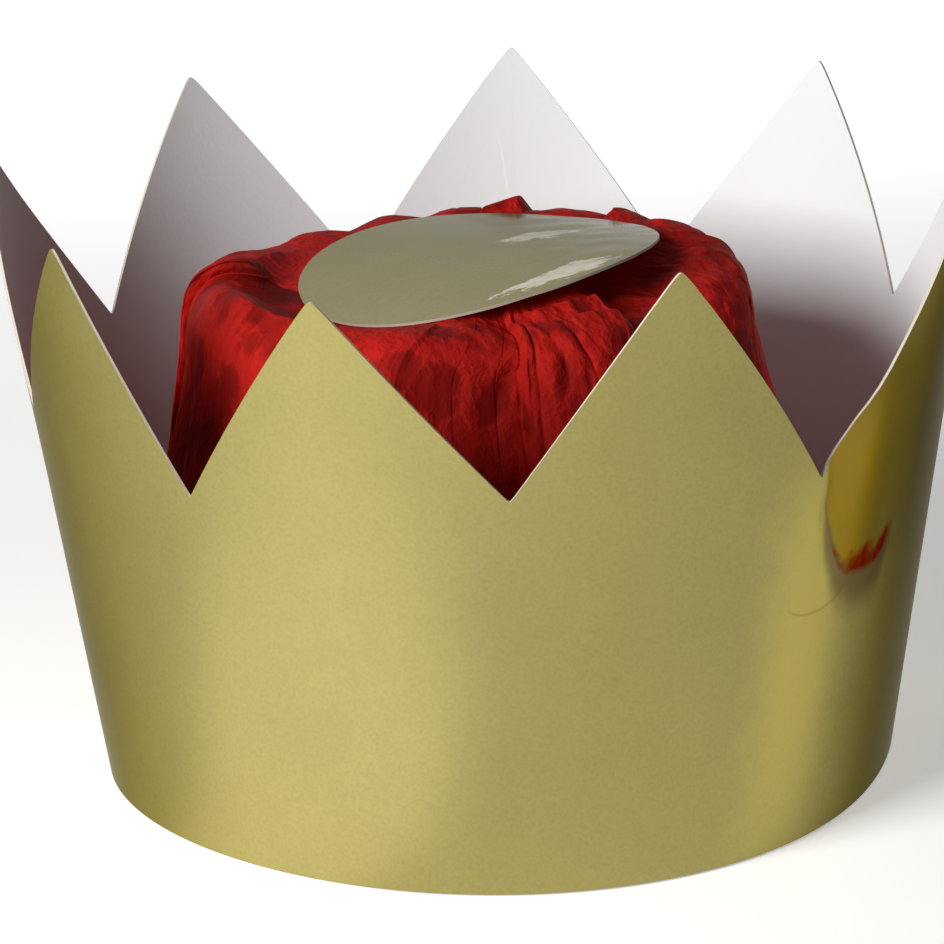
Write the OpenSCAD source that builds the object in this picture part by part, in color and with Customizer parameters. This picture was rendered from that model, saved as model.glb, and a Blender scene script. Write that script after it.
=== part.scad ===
// Paper crown: a gold card band cut into points, a gathered tissue cap inside it, a card disc on top.
// Angles run round the ring from the front (-Y), positive towards the right (+X).

/* [Band] */
// Mean outer radius of the bottom rim
rim_r = 90; // [84:0.5:100]
// Mean outer radius at the height of the points
tip_r = 108; // [100:0.5:120]
// Height of the points above the rim
crown_h = 132.5; // [120:0.5:160]
// Height of the valleys between the points
valley_h = 84.5; // [60:0.5:95]
// Number of points
points = 9; // [6:1:12]
// Thickness of the card of the band
band_t = 0.6; // [0.4:0.1:1.2]
// Length over which a cut corner is rounded
corner_round = 1.3; // [0.5:0.1:3]
// Turn of the first valley from the front
first_valley = -81; // [-90:1:-70]

/* [Ring out of round] */
// How much longer than its mean the rim's long half axis is
rim_oval = 4.5; // [0:0.5:8]
// The same at the height of the points
tip_oval = 1; // [0:0.5:8]
// Direction of the long axis
oval_turn = -12; // [-90:1:90]
// Height of three soft bulges round the ring
ring_lobe = 2.2; // [0:0.2:4]
// Direction of the first bulge
lobe_turn = 21; // [-60:1:60]
// How far the point at the left leans outwards at its tip
lean_d = 2.5; // [0:0.5:6]

/* [Creased valley] */
// How far the card is pressed in along the crease below one valley
crease_d = 1; // [0:0.1:3]
// How far the crease runs down from the valley
crease_h = 34; // [15:1:50]
// How far the point beside the crease is bent outwards at its tip
bent_d = 6; // [0:0.5:8]

/* [Tissue cap] */
// Thickness of the tissue wall with its plies
tissue_t = 0.4; // [0.3:0.1:0.8]
// Height of the glued hem above the rim
hem_h = 14; // [8:1:25]
// Height of the hem's cut edge above the rim
hem_lift = 2; // [1:0.5:5]
// Glue gap between the hem and the band
glue_gap = 0.25; // [0.1:0.05:0.6]
// Radius of the cap at its shoulder
cap_r = 62.5; // [52:0.5:68]
// Height of the cap at its shoulder
cap_h = 108.5; // [96:0.5:112]
// How far the top of the cap leans to the left
cap_lean = 6; // [0:0.5:8]
// How much shallower than wide the top of the cap is
cap_flat = 2.5; // [0:0.5:8]
// Height over which the shoulder of the cap is rounded
shoulder_h = 13; // [9:0.5:18]
// Width of the level ledge between the shoulder and the disc
ledge_w = 4; // [2:0.5:7]
// How far the cap bows in from the band above its hem
bow_d = 9; // [5:0.5:14]
// Rise of the middle of the cap over its shoulder
cap_rise = 3; // [2:0.5:10]
// Radius of the gathered opening under the disc
gather_r = 13; // [8:0.5:20]
// Depth of the folds at the shoulder
fold_d = 4; // [1:0.25:6]

/* [Disc] */
// Radius of the disc
disc_r = 39.2; // [25:0.1:45]
// Thickness of the card of the disc
disc_t = 0.6; // [0.4:0.1:1.2]
// Clearance between the disc and the top of the folds
seat_gap = 0.3; // [0.2:0.05:0.6]
// How far the disc lies to the left of the ring's middle
disc_off = 3.8; // [0:0.1:8]
// Tilt of the disc, up towards the right
disc_tilt = 6.5; // [0:0.5:10]
// Radius to which the disc is curled
curl_r = 166; // [120:1:400]
// Direction of the line that stays straight in the curl
curl_turn = -45; // [-90:1:90]

/* [Hidden] */
// How far each cut valley and tip strays from an even cut: degrees round the ring, then height
valley_stray = [
    [0, 0], [1, -2.5], [1.7, 3], [1, -2], [0, 0], [1, 0.5], [-0.8, -1], [-1, -1.5], [0, 1]
];
tip_stray = [
    [1.2, -2], [0.4, -2], [0.4, 3], [0, 0], [0, 0], [-1.2, 0.5], [-1.6, -0.5], [0.7, 1], [0, 0]
];
// Creases of the tissue: direction at the side, direction at the top, how far the next fold stands out
creases = [
    [-176, -176, 0.9], [-158, -158, 0.7], [-146, -146, 0.5], [-130, -128, 0.55], [-117, -108, 0.8],
    [-103, -82, 0.8], [-76, -63, 0.9], [-48, -42, 1], [-14, -7, 0.5], [11, 11.5, 1],
    [17, 16, 1], [23, 20, 1], [28, 25, 0.9], [36, 43, 0.5], [56, 60, 0.75],
    [77, 97, 0.95], [108, 105, 1], [131, 130, 1], [141, 140, 0.9], [153, 153, 0.9], [165, 165, 1]
];
pitch = 360 / points;
// Valley with the crease, tip that leans out and tip where the lap ends
creased = 3;
leaning = 8;
lap_tip = 13;
// Half width of the crease, and where the bend beside it starts, is full, fades and ends, in degrees
crease_w = 4;
bend_full = 8;
bend_fade = 12;
bend_end = 45;
// Half width of the leaning point in degrees, and how far below the valleys it starts to lean
lean_w = 26;
lean_low = 20;
// Width round the disc over which the tissue stays pressed under it
lid_w = 5;
// Fold width from which a fold has its full depth, its roundness, and largest turn between two columns
full_fold = 14;
fold_round = 0.65;
fold_step = 4.4;
// Columns, rows and facets of the faces
disc_facets = 96;
roll_facets = 180;
flank_cols = 6;
band_rows = 6;
side_rows = 7;
shoulder_rows = 5;
top_rows = 4;

function mix(a, b, t) = a + (b - a) * t;
function clamp(x) = max(0, min(1, x));
function smooth(a, b, x) = let (t = clamp((x - a) / (b - a))) t * t * (3 - 2 * t);
function bend(p, t) = let (s = 1 - t)
    s * s * s * p[0] + 3 * s * s * t * p[1] + 3 * s * t * t * p[2] + t * t * t * p[3];
function turn(r, a, z) = [r * sin(a), -r * cos(a), z];
function wrap(a) = a - 360 * floor((a + 180) / 360);

// Corners of the cut edge, valleys even and tips odd: direction and height
function stray(i) = let (s = i % 2 == 0 ? valley_stray : tip_stray) s[floor(i / 2) % len(s)];
function corner(i) = i >= 2 * points ? corner(i - 2 * points) + [360, 0]
    : [first_valley + i * pitch / 2, i % 2 == 0 ? valley_h : crown_h] + stray(i);

// Direction and edge height of every column of the band, with each corner rounded
function flank(i) = let (
    a = corner(i),
    b = corner(i + 1),
    d = corner_round / rim_r * 180 / PI / (b[0] - a[0]),
    cut = (i % 2 == 0 ? 0.2 : 0.5) * d
) concat(
    [[a[0], mix(a[1], b[1], cut)]],
    [for (j = [0:flank_cols]) mix(a, b, mix(d, 1 - d, j / flank_cols))]
);
columns = [for (i = [0:2 * points - 1]) each flank(i)];

// The crease below one valley, and the point beside it that is bent outwards
function crease(a, z) = let (
    valley = corner(2 * creased),
    d = wrap(a - valley[0]),
    low = valley[1] - crease_h
) bent_d * smooth(low, crown_h, z) * smooth(0, bend_full, d) * (1 - smooth(bend_fade, bend_end, d))
    - crease_d * smooth(low, valley[1], z) * (1 - smooth(0, crease_w, abs(d)));

// One more point that leans outwards
function lean(a, z) = let (d = wrap(a - corner(2 * leaning + 1)[0]))
    lean_d * smooth(valley_h - lean_low, crown_h, z) * (1 - smooth(0, lean_w, abs(d)));

// Outer radius of the strip before its ends are lapped
function strip_r(a, z) = let (s = z / crown_h)
    mix(rim_r, tip_r, s)
    + mix(rim_oval, tip_oval, s) * cos(2 * (a - oval_turn))
    + ring_lobe * cos(3 * (a - lobe_turn))
    + crease(a, z)
    + lean(a, z);

// The lap: the outer end stops at one valley, and the inner end goes on under it to the tip before
lap_from = corner(lap_tip)[0];
lap_to = corner(lap_tip + 1)[0];
lap_ease = 0.6 * pitch;
function eased(a) = 1 - smooth(1, lap_ease, wrap(a - lap_to));
function tuck(a, from) = wrap(a - from) > 0.01 ? band_t * eased(a) : 0;
function outer_r(a, z) = strip_r(a, z) - tuck(a, lap_to);
function inner_r(a, z) = strip_r(a, z) - band_t - tuck(a, lap_from);

// Outer radius of the hem, which clears the inner end of the lap one column early
function hem_r(a, z) = strip_r(a, z) - band_t - tuck(a, lap_from - fold_step) - glue_gap;

// Height of the underside of the disc over a place on the cap
disc_top = cap_h + cap_rise + seat_gap + disc_t;
function sag(x, y) = let (v = (x + disc_off) * sin(-curl_turn) + y * cos(curl_turn))
    curl_r - sqrt(curl_r * curl_r - v * v);
function disc_under(x, y) = disc_top - disc_t + (x + disc_off) * tan(disc_tilt)
    - sag(x, y) / cos(disc_tilt);

// Folds of the tissue: crease directions at a height, and how far a point stands out, 0 in a crease
fold_n = len(creases);
function crease_at(i, u) = let (c = creases[i % fold_n], turns = floor(i / fold_n))
    mix(c[0], c[1], smooth(1, 2, u)) + 360 * turns;
function fold_w(i, u) = crease_at(i + 1, u) - crease_at(i, u);
function fold_a(i, f, u) = mix(crease_at(i, u), crease_at(i + 1, u), f);
function crest(i, f) = creases[i][2] * pow(sin(180 * f), fold_round);

// Radius and height of the smooth cap, in three curves from the hem to the gather
shoulder_low = [cap_r, cap_h - shoulder_h];
ledge = [disc_r + ledge_w, cap_h];
gather = [gather_r, cap_h + cap_rise];
function side(a, u) = bend(
    [
        [hem_r(a, hem_h), hem_h],
        [hem_r(a, 0) - bow_d, hem_h + 2.5 * shoulder_h],
        shoulder_low + [0.2, -2] * shoulder_h,
        shoulder_low
    ],
    u
);
function shoulder(u) = bend(
    [
        shoulder_low,
        shoulder_low + [-0.08, 0.85] * shoulder_h,
        [cap_r - 0.45 * shoulder_h, cap_h + 0.08 * shoulder_h],
        ledge
    ],
    u
);
function middle(u) = bend([ledge, ledge - [2 * ledge_w, 0], gather + [gather_r, 0], gather], u);
function cap_rz(a, u) = u <= 1 ? side(a, u) : u <= 2 ? shoulder(u - 1) : middle(u - 2);
function cap_dir(a, u) = let (
    d = cap_rz(a, min(3, u + 0.01)) - cap_rz(a, max(0, u - 0.01)),
    n = norm(d)
) [d[1] / n, -d[0] / n];
function fold_depth(u) = fold_d * mix(0.75 * smooth(0, 1, u), 1, smooth(1, 2, u))
    * mix(1, 0.7, smooth(2, 3, u));

// One point of the tissue, drawn in along the slope by the fold and pressed flat under the disc
function tissue(i, f, u, in) = let (
    a = fold_a(i, f, u),
    w = min(1, fold_w(i, u) / full_fold),
    g = cap_rz(a, u),
    n = cap_dir(a, u),
    e = -fold_depth(u) * w * (1 - crest(i, f)),
    r = g[0] + e * n[0],
    z = g[1] + e * n[1],
    k = smooth(0, 1, u),
    p = [r * sin(a) - cap_lean * k, -r * cos(a) * (1 - k * cap_flat / cap_r), z],
    far = norm([p[0] + disc_off, p[1]]) - disc_r - lid_w,
    lid = disc_under(p[0], p[1]) - seat_gap + max(0, far),
    q = [p[0], p[1], u > 1 ? min(p[2], lid) : p[2]]
) in ? q - tissue_t * (turn(n[0], a, 0) + [0, 0, n[1]]) : q;
function hem(i, f, z, in) = let (a = fold_a(i, f, 0)) turn(hem_r(a, z) - (in ? tissue_t : 0), a, z);

// Rows of the cap from the cut edge of the hem to the gather
rises = concat(
    [for (j = [1:side_rows]) j / side_rows],
    [for (j = [1:shoulder_rows]) 1 + j / shoulder_rows],
    [for (j = [1:top_rows]) 2 + j / top_rows]
);
function tissue_column(i, f, in) = concat(
    [hem(i, f, hem_lift, in), hem(i, f, hem_h, in)],
    [for (u = rises) tissue(i, f, u, in)]
);
function tissue_sheet(in) = [
    for (i = [0:fold_n - 1])
        let (n = max(3, ceil(fold_w(i, 0) / fold_step)))
            for (j = [0:n - 1]) tissue_column(i, j / n, in)
];
function strip_column(c, in) = [
    for (r = [0:band_rows])
        let (z = c[1] * r / band_rows) turn(in ? inner_r(c[0], z) : outer_r(c[0], z), c[0], z)
];

// A closed wall between two sheets of points, column by column round the ring
module wall(outside, inside) {
    n = len(outside);
    m = len(outside[0]);
    function at(side, c, r) = (side * n + c % n) * m + r;
    function quad(a, b, c, d) = [[a, b, c], [a, c, d]];
    function out_face(c, r) = quad(at(0, c, r), at(0, c, r + 1), at(0, c + 1, r + 1), at(0, c + 1, r));
    function in_face(c, r) = quad(at(1, c, r), at(1, c + 1, r), at(1, c + 1, r + 1), at(1, c, r + 1));
    function low_edge(c) = quad(at(0, c, 0), at(0, c + 1, 0), at(1, c + 1, 0), at(1, c, 0));
    function top_edge(c) = let (t = m - 1)
        quad(at(0, c, t), at(1, c, t), at(1, c + 1, t), at(0, c + 1, t));
    polyhedron(
        points = concat([for (c = outside) each c], [for (c = inside) each c]),
        faces = [
            for (c = [0:n - 1]) each concat(
                [for (r = [0:m - 2]) each out_face(c, r)],
                [for (r = [0:m - 2]) each in_face(c, r)],
                low_edge(c),
                top_edge(c)
            )
        ]
    );
}

module crown_band() {
    color("goldenrod")
        wall(
            [for (c = columns) strip_column(c, false)],
            [for (c = columns) strip_column(c, true)]
        );
}

module tissue_cap() {
    color("firebrick")
        wall(tissue_sheet(false), tissue_sheet(true));
}

// A roll of card as thick as the disc, of which the disc is cut
module card_roll() {
    difference() {
        cylinder(r = curl_r, h = 3 * disc_r, center = true, $fn = roll_facets);
        cylinder(r = curl_r - disc_t, h = 4 * disc_r, center = true, $fn = roll_facets);
    }
}

module top_disc() {
    color("darkgoldenrod")
        translate([-disc_off, 0, disc_top])
            rotate([0, -disc_tilt, 0])
                intersection() {
                    translate([0, 0, -curl_r])
                        rotate([0, 0, curl_turn])
                            rotate([0, 90, 0])
                                card_roll();
                    translate([0, 0, -disc_r / 2])
                        cylinder(r = disc_r, h = disc_r, $fn = disc_facets);
                }
}

crown_band();
tissue_cap();
top_disc();
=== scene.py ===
"""Paper crown: the finish of its gold card band, its gathered tissue cap and its card disc.

Shapes are worked out in millimetres, and directions in degrees round the ring from the front (-Y),
positive towards the right (+X). Blender's own lengths are in metres.
"""

import math

import bpy
import numpy as np
from bpy.props import FloatProperty, FloatVectorProperty, PointerProperty
from mathutils import Matrix, Vector, noise


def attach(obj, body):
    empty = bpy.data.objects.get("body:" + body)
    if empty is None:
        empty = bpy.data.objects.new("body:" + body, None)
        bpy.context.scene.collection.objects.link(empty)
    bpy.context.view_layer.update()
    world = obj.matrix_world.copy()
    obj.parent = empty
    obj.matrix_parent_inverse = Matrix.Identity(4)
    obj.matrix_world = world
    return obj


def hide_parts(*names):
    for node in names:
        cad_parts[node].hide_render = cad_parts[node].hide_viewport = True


bl_info = {
    "name": "Paper crown",
    "version": (1, 0, 0),
    "blender": (4, 5, 0),
    "location": "View3D > Sidebar > Crown",
    "description": "Models a gold card crown with a gathered tissue cap",
    "category": "Object",
}

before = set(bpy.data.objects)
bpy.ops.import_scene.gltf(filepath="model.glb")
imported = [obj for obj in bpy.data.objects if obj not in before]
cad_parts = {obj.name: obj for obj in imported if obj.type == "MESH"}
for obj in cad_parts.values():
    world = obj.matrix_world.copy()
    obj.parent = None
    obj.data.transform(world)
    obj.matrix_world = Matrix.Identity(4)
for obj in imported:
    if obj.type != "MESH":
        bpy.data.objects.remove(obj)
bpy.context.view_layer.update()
MM = 0.001

# Cut of the band: degrees and millimetres by which each corner strays from an even cut
VALLEY_STRAY = ((0, 0), (1, -2.5), (1.7, 3), (1, -2), (0, 0), (1, 0.5), (-0.8, -1), (-1, -1.5), (0, 1))
TIP_STRAY = ((1.2, -2), (0.4, -2), (0.4, 3), (0, 0), (0, 0), (-1.2, 0.5), (-1.6, -0.5), (0.7, 1), (0, 0))
POINTS = 9
PITCH = 360 / POINTS
FIRST_VALLEY = -81
CREASED_VALLEY = 3
LEANING_TIP = 8
LAP_TIP = 13

# Rounding of the cut corners: its size at tips and valleys and how far it reaches, in degrees
TIP_ROUND = 0.42
VALLEY_ROUND = 0.16
ROUND_REACH = 3

# Directions in degrees: the ring's long axis and first bulge, the disc's tilt and the line of its curl
OVAL_TURN = -12
LOBE_TURN = 21
DISC_TILT = 6.5
CURL_TURN = -45

# Bend beside the creased valley: degrees from the valley where it is full, starts to fade and ends
BEND_FULL = 8
BEND_FADE = 12
BEND_END = 45

# Crease below that valley: share of its depth that is pressed in, degrees from the valley to its line,
# the degrees before and after that line where its face starts, is deepest and ends, how far above its
# foot it starts, and its waves as half width in degrees, turn for each millimetre and start in radians
CREASE_SHARE = 0.6
CREASE_ASIDE = 1.3
CREASE_FACE = (-0.9, 0.3, 6)
CREASE_FOOT = 6
CREASE_WAVES = ((0.5, 0.45, 0), (0.3, 1.1, 1))

# Leaning point: half its width in degrees, and how far below the valleys it starts to lean
LEAN_HALF = 26
LEAN_LOW = 20

# Lap of the band: its clearance, the degrees over which the inner end comes out from under it, the share
# of the card's thickness that the pressed inner end keeps, and the degrees over which it is pressed
LAP_ROOM = 0.01
LAP_EASE = (1, 24)
PRESSED_SHARE = 0.03
PRESSED_OVER = (0.2, 18)

# Faces of the band and the disc: columns of one flank, rows, how much closer columns lie at the corners,
# rings and facets of the disc, and the angle in degrees from which an edge stays sharp
FLANK_COLUMNS = 26
BAND_ROWS = 26
CORNER_CROWDING = 0.86
DISC_RINGS = 26
DISC_FACETS = 168
SHARP_EDGE = 30

# Slight dents at the right of the disc: their waves for each millimetre, a shift that picks them, their
# depth, and where from left to right they start and are full
DENT_WAVES = (0.09, 0.16)
DENT_SHIFT = 3.1
DENT_DEPTH = 0.22
DENT_FROM = (-10, 14)

# Painted glints of the disc, pale ragged patches of painted reflection: middle, half length and half
# width in millimetres, and where they point
GLINTS = ((12, -29, 15, 4), (18, -24, 8, 4.5), (9, 7, 10, 5))
GLINT_TURN = (0.91, 0.41)

# Loop that bounds the bent foil: direction and height of its lowest place, the half width in degrees and
# the rise in millimetres of its left and right arms, the millimetres over which its edge is soft, and
# the degrees over which the foil changes at the crease
LOOP_ALONG = 51.5
LOOP_UP = 57.3
LOOP_LEFT = (9.8, 15)
LOOP_RIGHT = (5.5, 8)
LOOP_EDGE = (-0.5, 2)
CREASE_ALONG = (40.9, 41.7)

# Painted light on the foil beside the creased valley, each kind where it starts, is full, starts to fade
# and ends: degrees along the ring and millimetres up it. The painted sheen leans with the crease; the
# painted reflections dim it towards the right, darken the bent point and warm it beside the crease.
SHEEN_ALONG = (26, 37, 39, 49)
SHEEN_UP = (-25, 45, 70, 100)
SHEEN_LEAN = 0.06
SHEEN_FOOT = 25
DIM_REFLECTION_ALONG = (46, 64, 84, 112)
DIM_REFLECTION_UP = (20, 90)
DARK_REFLECTION_ALONG = (47, 63)
DARK_REFLECTION_UP = (100, 126)
WARM_REFLECTION_ALONG = (46, 53)
WARM_REFLECTION_UP = (84, 112)

# Painted shade and a red mark along the loop, in the same way, with millimetres past the loop: the painted
# shade and where it is left out, and the red mark with the place where it is widest
SHADE_PAST = (-12, -2, 0, 4)
SHADE_ALONG = (40.6, 42, 56, 64)
CLEAR_ALONG = (48, 52)
CLEAR_UP = (61, 68)
RED_MARK_ALONG = (41, 43, 56, 58)
RED_MARK_UP = (63, 70)
RED_MARK_WIDE = (45, 49, 55.5, 57)

# Fine crease that curves down from the red mark, with painted shade along it: its lowest direction and
# height, how fast it curves up, half its width from full to none, and its ends
FINE_LOW = (41, 52.4)
FINE_CURVE = 0.09
FINE_HALF = (0.12, 0.5)
FINE_ALONG = (34.5, 38, 46, 47.5)

# Painted highlight along a faint fold in the lining of the back point: its place from left to right at a
# height, its lean, half its width from full to none, its ends in height, and how far back it starts
FAINT_X = 3.4
FAINT_Z = 96
FAINT_LEAN = 0.13
FAINT_HALF = (0.1, 0.35)
FAINT_UP = (88, 94, 108, 114)
FAINT_BACK = (60, 70)

# Painted shade in the deep fold at the left of the tissue: share up the tissue of its upper edge at the
# front, how that edge climbs with each degree, how far below the edge the painted shade reaches, and its
# ends in degrees
DEEP_SHARE = 3.98
DEEP_CLIMB = 0.02
DEEP_UNDER = (-0.03, 0.01, 0.10, 0.45)
DEEP_ALONG = (-104, -97, -66, -56)

# Flat map of the tissue in metres: length of the hem, and height of one share up the tissue
HEM_LENGTH = 0.57
SHARE_HEIGHT = 0.04

# Room between the band and the tissue: beyond the lapped card, and for the glue at the hem
LAP_PLAY = 0.3
GLUE_GAP = 0.25

# Rows of the tissue in its hem, side, shoulder and middle, how its side rows crowd upwards, its columns
# for each degree at the front and at the back, the direction that parts them, the fewest columns between
# two fold lines, and how they crowd at the lines
HEM_ROWS = 4
SIDE_ROWS = 22
SHOULDER_ROWS = 26
MIDDLE_ROWS = 11
SIDE_CROWDING = 1.5
FRONT_COLUMNS = 1.9
BACK_COLUMNS = 1.0
FRONT_HALF = 126
FEWEST_COLUMNS = 5
LINE_CROWDING = 0.75

# Lines that the tissue is folded along, each with its direction at the top and at the side in degrees,
# how far it stands out at the top and at the side in millimetres, 1 where it is a sharp crease and 0
# where it is a soft turn, how crumpled the paper is after it, and the depth of the groove along it
FOLD_LINES = (
    (-178, -178, 1.0, 0, 0, 0.5, 0),
    (-169, -168, 0, -3, 1, 0.5, 0.8),
    (-160, -159, -0.6, 0, 0, 0.4, 0),
    (-150, -149, -2.2, -2.5, 1, 0.4, 1),
    (-139, -140, -1.8, -0.4, 0, 0.4, 0),
    (-128, -132, -1.6, -3, 1, 0.3, 1),
    (-112, -119, -0.2, 0, 0, 0.3, 0),
    (-96, -98, 2.2, 1.0, 1, 0.1, 0),
    (-98.5, -100, -1.8, -1.2, 1, 0.08, 0),
    (-82, -84, -1.6, -0.8, 0, 0.08, 0),
    (-62, -62, 0.2, 0.2, 0, 0.1, 0),
    (-46, -50, -0.4, 0.2, 0, 0.15, 0),
    (-28, -34, -0.6, -0.6, 0, 0.2, 0),
    (-8, -15, 0.6, 1.0, 1, 0.1, 0),
    (-7, -13.8, -0.1, 0.1, 1, 0.25, 0),
    (2, -4, -1.0, -3.4, 0, 0.45, 0),
    (9, 5, -2.0, -5.0, 0, 0.6, 0.2),
    (11.6, 10.2, -2.2, -5.2, 1, 0.3, 0.6),
    (12.8, 11.6, 0.3, -1.0, 1, 0.6, 0),
    (13.8, 13.4, 0.0, -0.9, 1, 0.9, 0.4),
    (15.2, 16.4, 0.4, 0.2, 0, 0.9, 0),
    (16.8, 19.2, 0.1, -0.2, 1, 0.9, 0.4),
    (18.8, 22.4, 0.5, 0.5, 0, 0.9, 0),
    (20.6, 25.4, 0.3, 0.1, 1, 0.9, 0.4),
    (23, 28.4, 0.6, 0.3, 0, 0.9, 0.15),
    (29, 31.6, 1.0, -0.5, 0, 0.9, 0),
    (38, 34.5, 0.8, -2.2, 1, 0.5, 0),
    (42.5, 37, -2.2, -4.6, 1, 0.8, 0.5),
    (52, 47, -2.8, -4.2, 0, 0.9, 0),
    (58, 54, -1.2, -2.4, 1, 0.9, 0),
    (63, 58, -2.4, -3.4, 1, 0.9, 0.8),
    (80, 67, 0.8, -1, 0, 0.6, 0),
    (97, 76, 3, 0, 1, 0.2, 0),
    (98.5, 78, 1.2, -1.4, 1, 0.5, 1.4),
    (104, 108, 4, 0.2, 1, 0.2, 0),
    (105.5, 110, 2.6, -1.2, 1, 0.5, 1.4),
    (119, 122, 3.6, 0.4, 0, 0.4, 0),
    (130, 132, 2, -2.6, 1, 0.4, 1),
    (139, 140, 3, 0, 1, 0.2, 0),
    (140.5, 142, 1.2, -1.8, 1, 0.4, 0.8),
    (154, 156, 1, 0, 0, 0.4, 0),
    (164.5, 164.5, 0.8, -2.5, 1, 0.2, 0),
    (167, 167.5, 4.4, -0.5, 1, 0.2, 0),
    (176.5, 176, 1.2, -2, 1, 0.4, 0.6),
)
TOP, SIDE, TOP_RISE, SIDE_RISE, SHARP, CRUMPLE, GROOVE = np.array(FOLD_LINES, float).T

# Half width in degrees of a groove along a fold line: its least, and what each millimetre of depth adds
GROOVE_HALF = 0.25
GROOVE_SPREAD = 0.2

# Small folds that run across the others: first and last direction in degrees, share up the tissue,
# how far they stand out and half their width, and the degrees over which they start and end
CROSS_FOLDS = ((14, 46, 2.02, 1.5, 0.06), (14, 44, 1.88, -0.7, 0.05), (17, 42, 1.75, 0.9, 0.06))
CROSS_START = 5
CROSS_END = 8

# Soft swells and hollows of the tissue: direction and half width in degrees, share up the tissue and
# half height there, and how far they stand out
SWELLS = ((-80, 15, 2.06, 0.20, -4.5), (-68, 18, 1.66, 0.17, 2.2), (14, 3, 2.06, 0.09, -1.6))

# Shares up the tissue: from where to where its fold lines turn from the side to the top, where the folds
# of the side are full, and from where to where they flatten under the disc to the share that they keep
TURN_FROM = 1.1
TURN_TO = 2.0
SIDE_FULL = 1.1
FLAT_FROM = 2.1
FLAT_TO = 3
FLAT_KEEP = 0.5

# Sway of the columns where the paper is crumpled: degrees to a wave, waves for each share, a shift that
# picks them, most sway in degrees, and from which share to which it grows
SWAY_DEGREES = 5
SWAY_SHARES = 4
SWAY_SHIFT = 0.7
SWAY_MOST = 0.7
SWAY_FROM = (0.2, 0.8)

# Tissue under the disc: width round the disc where it is pressed down too, and how far from the middle
# the disc's curve is followed at the left, right, front and back
LID_WIDTH = 4
LID_X = (-50, 45)
LID_Y = (-50, 50)

# Wrinkles of the tissue: height of one share at the side and above it, the part of that height that counts
# in tall and in even wrinkles, the shares where they start and end, how far the broad ones stand out and
# how deep the creases and facets are. Its grooves start, then fade at the shoulder to what they keep.
SIDE_CLIMB = 80
TOP_CLIMB = 32
TALL_PART = 0.28
EVEN_PART = 0.8
WRINKLE_START = (0.05, 0.5)
WRINKLE_END = (3, 2.4)
BROAD_RISE = 0.8
CREASE_DEPTH = 1.1
FACET_DEPTH = 0.6
GROOVE_START = (0.1, 0.8)
GROOVE_FADE = (1.7, 2.05)
GROOVE_KEEP = 0.2

# Share of the tissue over which its slope is measured
SLOPE_STEP = 0.02

# Painted pool of light: a brighter glow of the floor where the foil mirrors it, with its middle and half
# size in metres, and its level. The floor far away, from one squared distance to another, has a level too.
# Both times the glow are seen as white, and the floor near the crown keeps its shadow.
GLEAM = (-0.118, -0.135, 0.10, 0.09)
GLEAM_LEVEL = (2.2, 2.2, 2.27)
FAR_FLOOR = (0.10, 0.7)
FAR_LEVEL = (2.27, 2.27, 2.27)
FLOOR_GLOW = 0.44
FLOOR_SIZE = 6
FLOOR_Z = -0.0004

# Lamps in metres, watts and degrees: a soft key at the front left, and a wide spot from above the back
KEY_PLACE = Vector((-0.68, -0.76, 0.53))
KEY_TARGET = Vector((0, 0, 0.08))
KEY_SIZE = 0.5
KEY_POWER = 15.5
BACK_PLACE = (0, 0.95, 1.3)
BACK_FROM = (0, 0.15, 1.3)
BACK_POWER = 50
BACK_CONE = 46
BACK_SOFT = 0.3
ROOM_LIGHT = 0.03

# Camera: radians that it looks down and rolls, metres from its target, the target's height, focal length
# and shift in pixels, pixels across the square picture, and the width of the sensor in millimetres
LOOK_DOWN = 0.2976
ROLL = 0.0293
DISTANCE = 1.48856
TARGET_Z = 0.060
FOCAL = 6854.63
SHIFT_X = 30.83
SHIFT_Y = 9.95
PICTURE = 944
SENSOR = 36
CLIP_END = 20


def length(name, description, millimetres):
    """A size in metres with its default given in millimetres."""
    return FloatProperty(
        name=name, description=description, default=millimetres * MM, unit="LENGTH", precision=5
    )


def colour(name, description, value):
    """A colour that a user can pick."""
    return FloatVectorProperty(
        name=name, description=description, default=value, size=3, min=0, max=1, subtype="COLOR"
    )


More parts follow.
